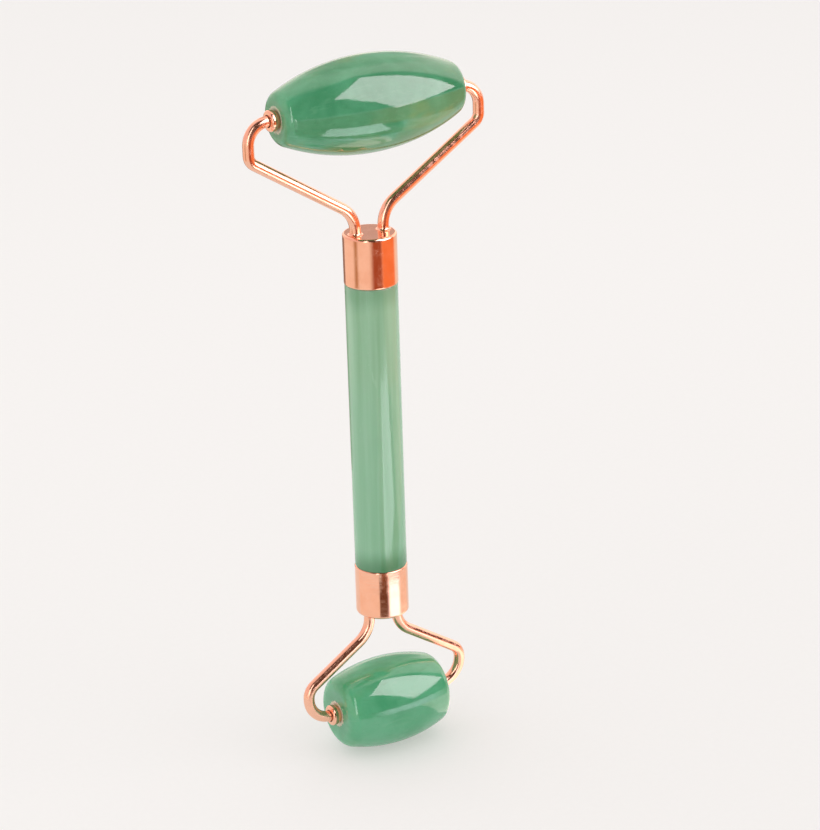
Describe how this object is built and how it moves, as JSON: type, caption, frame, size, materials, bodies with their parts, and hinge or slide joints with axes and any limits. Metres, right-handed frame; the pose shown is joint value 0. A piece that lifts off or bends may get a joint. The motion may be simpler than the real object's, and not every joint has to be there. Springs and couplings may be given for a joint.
{
  "type": "face roller",
  "caption": "Hand-held facial massage roller: a polished green stone rod with a wire fork at each end, one carrying a long barrel stone and the other a short one, both turning freely.",
  "frame": {"origin": "middle of the handle, on its axis", "axes": "+Z along the handle towards the large roller, +X along both roller axles, +Y square to the plane of the forks"},
  "size_m": [0.0546, 0.0196, 0.1494],
  "materials": {
    "handle_jade": "polished translucent green stone, paler with soft lengthwise streaks",
    "roller_jade": "polished translucent green stone with darker and yellow-green layers",
    "ferrule_rose_gold": "polished rose-gold plating with fine handling marks",
    "wire_rose_gold": "drawn wire, polished rose-gold plating",
    "bush_rose_gold": "turned bush, polished rose-gold plating",
    "braze_rose_gold": "plated braze fillet, slightly uneven",
    "anchor_steel": "plain turned steel, hidden",
    "epoxy": "cured clear epoxy, hidden"
  },
  "bodies": {
    "handle": {"handle_stone": "handle_jade", "large_ferrule": "ferrule_rose_gold", "large_anchor_disc": "anchor_steel", "large_peg": "anchor_steel", "large_adhesive": "epoxy", "large_left_arm": "wire_rose_gold", "large_left_braze": "braze_rose_gold", "large_right_arm": "wire_rose_gold", "large_right_braze": "braze_rose_gold", "small_ferrule": "ferrule_rose_gold", "small_anchor_disc": "anchor_steel", "small_peg": "anchor_steel", "small_adhesive": "epoxy", "small_left_arm": "wire_rose_gold", "small_left_braze": "braze_rose_gold", "small_right_arm": "wire_rose_gold", "small_right_braze": "braze_rose_gold"},
    "large_roller": {"large_roller_stone": "roller_jade", "large_left_bush": "bush_rose_gold", "large_right_bush": "bush_rose_gold"},
    "small_roller": {"small_roller_stone": "roller_jade", "small_left_bush": "bush_rose_gold", "small_right_bush": "bush_rose_gold"}
  },
  "joints": [
    {"name": "large_roller_spin", "type": "hinge", "parent": "handle", "child": "large_roller", "pos_m": [0, 0, 0.0678], "axis": [1, 0, 0], "continuous": true},
    {"name": "small_roller_spin", "type": "hinge", "parent": "handle", "child": "small_roller", "pos_m": [0, 0, -0.0625], "axis": [1, 0, 0], "continuous": true}
  ]
}
